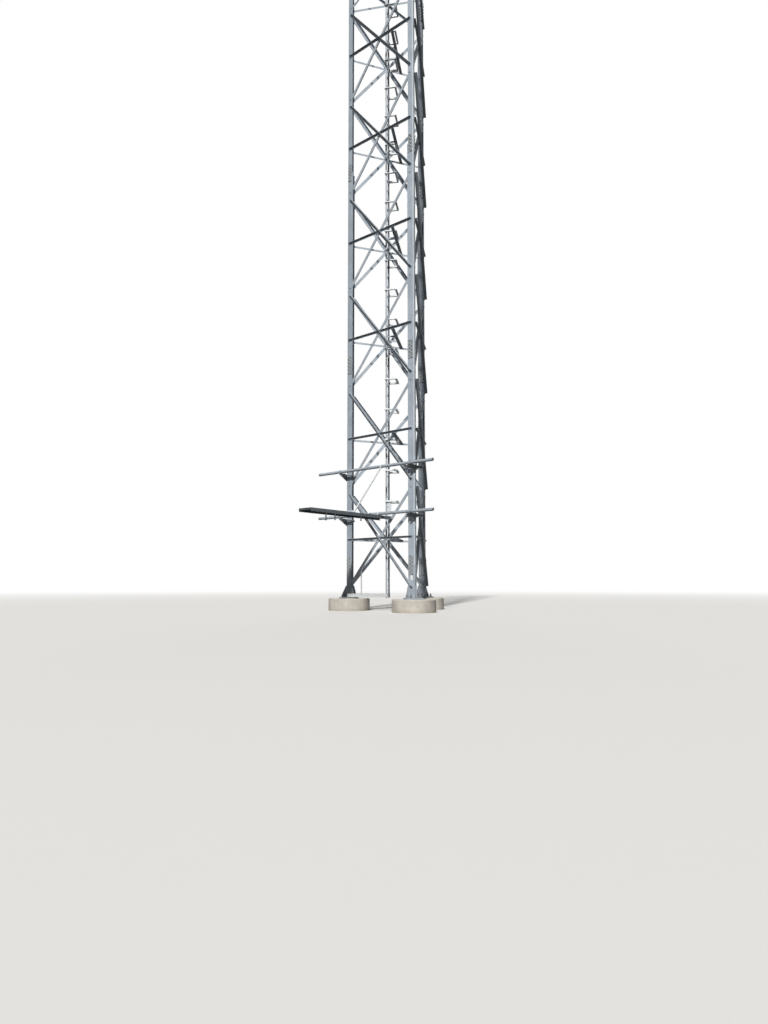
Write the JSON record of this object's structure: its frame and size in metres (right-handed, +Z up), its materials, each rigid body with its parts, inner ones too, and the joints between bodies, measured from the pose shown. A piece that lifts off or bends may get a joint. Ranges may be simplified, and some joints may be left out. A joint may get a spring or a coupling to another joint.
{
  "type": "lattice mast lower run",
  "caption": "Lower run of a straight triangular lattice mast: bent-plate legs on round concrete piers, crossed bracing, inner ladder, cable brackets and a cable bridge stub.",
  "frame": {"origin": "centre of the underside of pier A, at ground level", "axes": "+Z up along the mast; +X from pier A to pier B along face AB; face AB and the bridge look along -Y"},
  "size_m": [4.28, 5.6852, 20.198],
  "materials": {
    "concrete": "cast concrete, smooth with faint form marks",
    "leg_steel": "weathered hot-dip galvanised",
    "plate_steel": "hot-dip galvanised, duller",
    "bracing_steel": "hot-dip galvanised",
    "ladder_steel": "hot-dip galvanised",
    "bright_steel": "new galvanised, bright",
    "pipe_steel": "galvanised pipe",
    "deck_steel": "galvanised grating plank"
  },
  "bodies": {
    "root": {"pier_a": "concrete", "pier_b": "concrete", "pier_c": "concrete", "base_shoe_a": "leg_steel", "base_shoe_b": "leg_steel", "base_shoe_c": "leg_steel", "leg_a_section_1": "leg_steel", "leg_b_section_1": "leg_steel", "leg_c_section_1": "leg_steel", "leg_a_section_2": "leg_steel", "leg_b_section_2": "leg_steel", "leg_c_section_2": "leg_steel", "leg_a_section_3": "leg_steel", "leg_b_section_3": "leg_steel", "leg_c_section_3": "leg_steel", "leg_ends": "leg_steel", "splice_plates_1": "plate_steel", "splice_plates_2": "plate_steel", "splice_plates_3": "plate_steel", "splice_plates_4": "plate_steel", "face_ab_bracing_1": "bracing_steel", "face_bc_bracing_1": "bracing_steel", "face_ca_bracing_1": "bracing_steel", "face_ab_bracing_2": "bracing_steel", "face_bc_bracing_2": "bracing_steel", "face_ca_bracing_2": "bracing_steel", "face_ab_bracing_3": "bracing_steel", "face_bc_bracing_3": "bracing_steel", "face_ca_bracing_3": "bracing_steel", "ladder_braces": "bracing_steel", "ladder_section_1": "ladder_steel", "ladder_section_2": "ladder_steel", "ladder_section_3": "ladder_steel", "ladder_foot_frame": "bright_steel", "cable_brackets": "bright_steel", "lower_face_pipe": "pipe_steel", "upper_face_pipe": "pipe_steel", "lower_clamps": "plate_steel", "upper_clamps": "plate_steel", "bridge_deck": "deck_steel", "bridge_straps": "bright_steel", "bridge_tie": "bright_steel", "bridge_hanger": "bright_steel", "bridge_rods": "plate_steel"}
  },
  "joints": []
}
